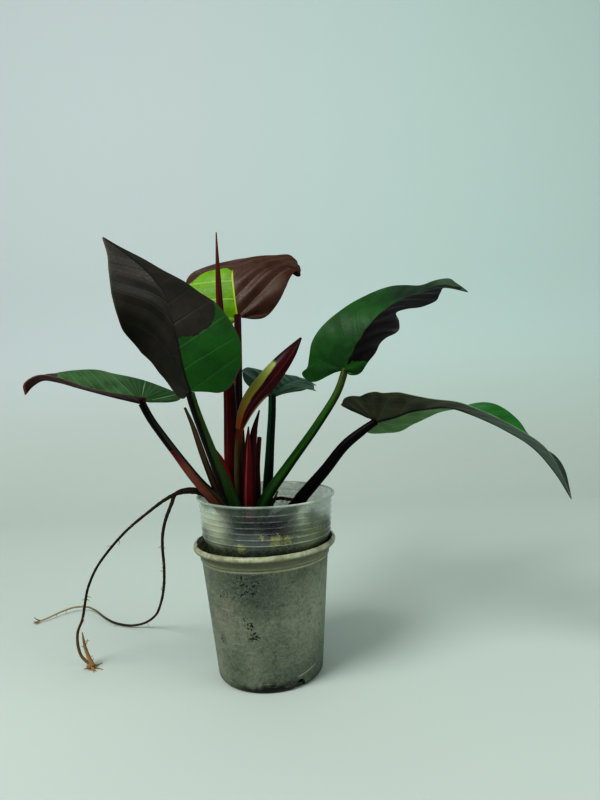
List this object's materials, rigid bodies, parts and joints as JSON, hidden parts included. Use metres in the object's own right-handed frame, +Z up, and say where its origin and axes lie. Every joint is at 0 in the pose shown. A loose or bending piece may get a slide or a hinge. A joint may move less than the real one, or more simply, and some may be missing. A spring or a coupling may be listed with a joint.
{
  "type": "potted variegated philodendron",
  "caption": "Potted aroid house plant with long-stalked dark and green heart-shaped leaves, a rolled young leaf, a spear and aerial roots, in two nested nursery pots.",
  "frame": {"origin": "centre of the outer pot's base, on the surface it stands on", "axes": "+Z up, -Y towards the front of the plant, +X to the viewer's right"},
  "size_m": [0.4748, 0.2271, 0.3572],
  "materials": {
    "grey_plastic": "satin",
    "clear_plastic": "gloss",
    "soil_mix": "matte",
    "dark_leaf": "satin",
    "bronze_leaf": "satin",
    "green_leaf": "satin",
    "leaf_underside": "matte",
    "lime_leaf": "satin",
    "dark_stalk": "satin",
    "green_stalk": "satin",
    "red_sheath": "satin",
    "olive_stub": "matte",
    "pink_sheath": "matte",
    "root_bark": "matte"
  },
  "bodies": {
    "root": {"outer_pot": "grey_plastic", "inner_pot": "clear_plastic", "soil": "soil_mix", "stem": "dark_stalk", "spear_leaf": "red_sheath", "blade_upper_left": "dark_leaf", "stalk_upper_left": "dark_stalk", "blade_back": "bronze_leaf", "stalk_back": "dark_stalk", "blade_upper_right": "green_leaf", "stalk_upper_right": "green_stalk", "blade_lower_right": "leaf_underside", "stalk_lower_right": "dark_stalk", "blade_lower_left": "green_leaf", "stalk_lower_left": "dark_stalk", "blade_low_back": "dark_leaf", "stalk_low_back": "dark_stalk", "blade_young": "lime_leaf", "stalk_young": "red_sheath", "sheath_red_tip": "red_sheath", "sheath_dark_red": "red_sheath", "cut_stub": "olive_stub", "sheath_small_red": "red_sheath", "olive_stub": "olive_stub", "sheath_pink": "pink_sheath", "aerial_root_short": "root_bark", "aerial_root_long": "root_bark", "side_root": "root_bark", "root_twig": "root_bark"}
  },
  "joints": []
}
